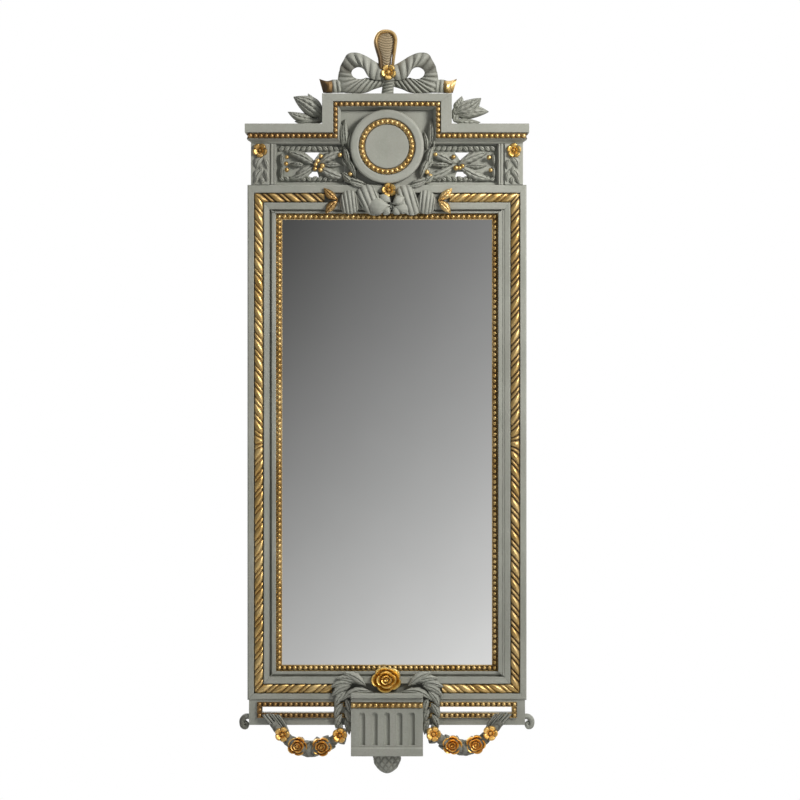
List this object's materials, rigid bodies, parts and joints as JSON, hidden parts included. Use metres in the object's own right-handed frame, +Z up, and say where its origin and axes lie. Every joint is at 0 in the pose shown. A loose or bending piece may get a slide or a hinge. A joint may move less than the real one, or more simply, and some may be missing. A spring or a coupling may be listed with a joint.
{
  "type": "trumeau mirror",
  "caption": "Tall wall mirror in a grey painted, gilded frame with a stepped cornice, roundel and bow crest, and an apron with fluted bracket and garlands; hangs on rear rings.",
  "frame": {"origin": "middle of the top rail's rear face, on the wall side", "axes": "+Z up, the glass faces -Y, +X to the right seen from the front"},
  "size_m": [0.505, 0.0593, 1.2646],
  "materials": {
    "grey_paint": "carved wood under aged grey-green paint, matt",
    "gilding": "carved wood under burnished gold leaf, worn to red bole",
    "mirror_glass": "silvered flat glass",
    "hardboard": "brown hardboard, matt",
    "brass": "dull brass",
    "steel": "zinc plated steel",
    "felt": "dark felt"
  },
  "bodies": {
    "frame": {"stile_left": "grey_paint", "stile_right": "grey_paint", "top_rail": "grey_paint", "bottom_rail": "grey_paint", "bead_slip_left": "gilding", "bead_slip_right": "gilding", "bead_slip_top": "gilding", "bead_slip_bottom": "gilding", "rope_left": "gilding", "rope_right": "gilding", "rope_top_left": "gilding", "rope_top_right": "gilding", "rope_bottom_left": "gilding", "rope_bottom_right": "gilding", "mirror_glass": "mirror_glass", "back_panel": "hardboard", "button_screw_left_upper": "steel", "button_screw_left_lower": "steel", "button_screw_right_upper": "steel", "button_screw_right_lower": "steel", "hanger_strap_left": "brass", "hanger_strap_right": "brass", "hanger_screw_left": "steel", "hanger_screw_right": "steel", "wall_pad_left": "felt", "wall_pad_right": "felt", "crest_board": "grey_paint", "pilaster_left": "grey_paint", "pilaster_right": "grey_paint", "laurel_panel_left": "grey_paint", "laurel_panel_right": "grey_paint", "cornice_wing_left": "grey_paint", "cornice_wing_right": "grey_paint", "cornice_riser_left": "grey_paint", "cornice_riser_right": "grey_paint", "cornice_top": "grey_paint", "roundel": "grey_paint", "bow_left": "grey_paint", "bow_right": "grey_paint", "bow_knot": "grey_paint", "plume": "gilding", "shoulder_leaves_left": "grey_paint", "shoulder_leaves_right": "grey_paint", "ribbon_swag": "grey_paint", "apron_rail": "grey_paint", "apron_scroll_left": "grey_paint", "apron_scroll_right": "grey_paint", "bracket": "grey_paint", "bracket_bud": "grey_paint", "bracket_rose": "gilding", "laurel_bunch_left": "grey_paint", "laurel_bunch_right": "grey_paint", "garland_left": "gilding", "garland_right": "gilding"},
    "ring_left": {"hanger_ring_left": "steel"},
    "button_left_upper": {"turn_button_left_upper": "brass"},
    "button_left_lower": {"turn_button_left_lower": "brass"},
    "ring_right": {"hanger_ring_right": "steel"},
    "button_right_upper": {"turn_button_right_upper": "brass"},
    "button_right_lower": {"turn_button_right_lower": "brass"}
  },
  "joints": [
    {"name": "ring_left_swing", "type": "hinge", "parent": "frame", "child": "ring_left", "pos_m": [-0.2215, 0.0033, -0.1045], "axis": [1, 0, 0], "range_deg": [0, 180]},
    {"name": "button_left_upper_turn", "type": "hinge", "parent": "frame", "child": "button_left_upper", "pos_m": [-0.2215, 0.0016, -0.1645], "axis": [0, 1, 0], "continuous": true},
    {"name": "button_left_lower_turn", "type": "hinge", "parent": "frame", "child": "button_left_lower", "pos_m": [-0.2215, 0.0016, -0.6795], "axis": [0, 1, 0], "continuous": true},
    {"name": "ring_right_swing", "type": "hinge", "parent": "frame", "child": "ring_right", "pos_m": [0.2215, 0.0033, -0.1045], "axis": [1, 0, 0], "range_deg": [0, 180]},
    {"name": "button_right_upper_turn", "type": "hinge", "parent": "frame", "child": "button_right_upper", "pos_m": [0.2215, 0.0016, -0.1645], "axis": [0, 1, 0], "continuous": true},
    {"name": "button_right_lower_turn", "type": "hinge", "parent": "frame", "child": "button_right_lower", "pos_m": [0.2215, 0.0016, -0.6795], "axis": [0, 1, 0], "continuous": true}
  ]
}
